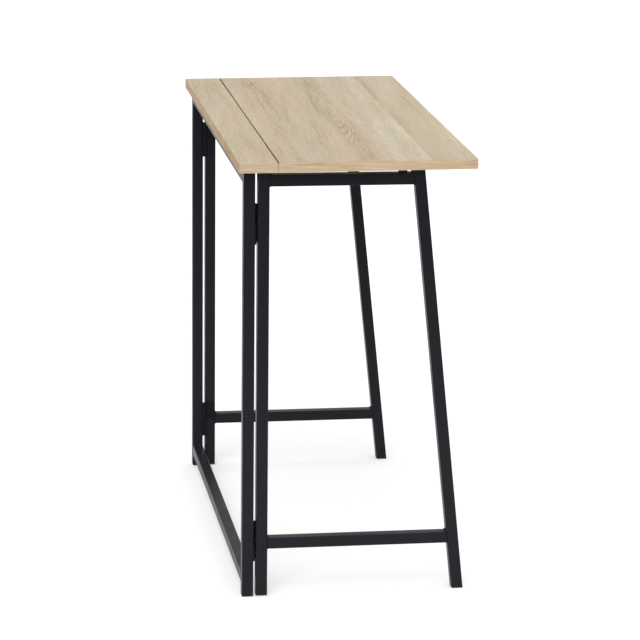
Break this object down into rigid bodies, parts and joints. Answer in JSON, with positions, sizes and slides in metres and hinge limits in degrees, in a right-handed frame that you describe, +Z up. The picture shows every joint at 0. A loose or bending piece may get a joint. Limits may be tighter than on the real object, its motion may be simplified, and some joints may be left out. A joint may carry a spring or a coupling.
{
  "type": "folding desk",
  "caption": "Narrow folding desk: an oak-effect drop-leaf top on a black square-tube rear frame, with hinged gate legs that swing out to carry the leaf and fold in flat.",
  "frame": {"origin": "on the floor under the middle of the tabletop's outline", "axes": "+X along the desk's width, +Y to the fixed strip and the wall, +Z up"},
  "size_m": [0.8, 0.39, 0.74],
  "materials": {
    "oak_laminate": "matt oak-effect laminate",
    "black_coat": "satin black powder coat on steel tube",
    "black_plastic": "matt black",
    "black_rubber": "matt black",
    "zinc_steel": "zinc plated"
  },
  "bodies": {
    "rear_frame": {"top_strip": "oak_laminate", "rear_upright_left": "black_coat", "rear_upright_right": "black_coat", "rear_top_rail": "black_coat", "rear_bottom_rail": "black_coat", "rear_foot_cap_left": "black_plastic", "rear_foot_cap_right": "black_plastic", "strip_screw_1": "zinc_steel", "strip_screw_2": "zinc_steel", "strip_screw_3": "zinc_steel", "strip_spacer_1": "black_plastic", "strip_spacer_2": "black_plastic", "strip_spacer_3": "black_plastic", "gate_hinge_left_lower_frame_half": "black_coat", "gate_hinge_left_upper_frame_half": "black_coat", "gate_hinge_right_lower_frame_half": "black_coat", "gate_hinge_right_upper_frame_half": "black_coat", "gate_hinge_left_lower_pin": "zinc_steel", "gate_hinge_left_upper_pin": "zinc_steel", "gate_hinge_right_lower_pin": "zinc_steel", "gate_hinge_right_upper_pin": "zinc_steel", "leaf_hinge_left_strip_plate": "zinc_steel", "leaf_hinge_right_strip_plate": "zinc_steel", "leaf_hinge_left_pin": "zinc_steel", "leaf_hinge_right_pin": "zinc_steel", "leaf_hinge_left_strip_screw_1": "zinc_steel", "leaf_hinge_left_strip_screw_2": "zinc_steel", "leaf_hinge_right_strip_screw_1": "zinc_steel", "leaf_hinge_right_strip_screw_2": "zinc_steel"},
    "gate_left": {"gate_left_upright": "black_coat", "gate_left_leg": "black_coat", "gate_left_rail": "black_coat", "gate_left_stretcher": "black_coat", "gate_left_upright_foot_cap": "black_plastic", "gate_left_upright_top_plug": "black_plastic", "gate_left_leg_foot_cap": "black_plastic", "gate_left_leg_top_plug": "black_plastic", "gate_hinge_left_lower_gate_half": "black_coat", "gate_hinge_left_upper_gate_half": "black_coat", "gate_left_bumper": "black_rubber"},
    "gate_right": {"gate_right_upright": "black_coat", "gate_right_leg": "black_coat", "gate_right_rail": "black_coat", "gate_right_stretcher": "black_coat", "gate_right_upright_foot_cap": "black_plastic", "gate_right_upright_top_plug": "black_plastic", "gate_right_leg_foot_cap": "black_plastic", "gate_right_leg_top_plug": "black_plastic", "gate_hinge_right_lower_gate_half": "black_coat", "gate_hinge_right_upper_gate_half": "black_coat", "gate_right_bumper": "black_rubber"},
    "leaf": {"top_leaf": "oak_laminate", "leaf_hinge_left_leaf_plate": "zinc_steel", "leaf_hinge_right_leaf_plate": "zinc_steel", "leaf_hinge_left_leaf_screw_1": "zinc_steel", "leaf_hinge_left_leaf_screw_2": "zinc_steel", "leaf_hinge_right_leaf_screw_1": "zinc_steel", "leaf_hinge_right_leaf_screw_2": "zinc_steel"}
  },
  "joints": [
    {"name": "gate_left_swing", "type": "hinge", "parent": "rear_frame", "child": "gate_left", "pos_m": [-0.3577, 0.1639, 0], "axis": [0, 0, 1], "range_deg": [0, 90]},
    {"name": "gate_right_swing", "type": "hinge", "parent": "rear_frame", "child": "gate_right", "pos_m": [0.3577, 0.1639, 0], "axis": [0, 0, -1], "range_deg": [0, 90]},
    {"name": "leaf_lift", "type": "hinge", "parent": "rear_frame", "child": "leaf", "pos_m": [0, 0.1315, 0.7207], "axis": [-1, 0, 0], "range_deg": [0, 2.5]}
  ]
}
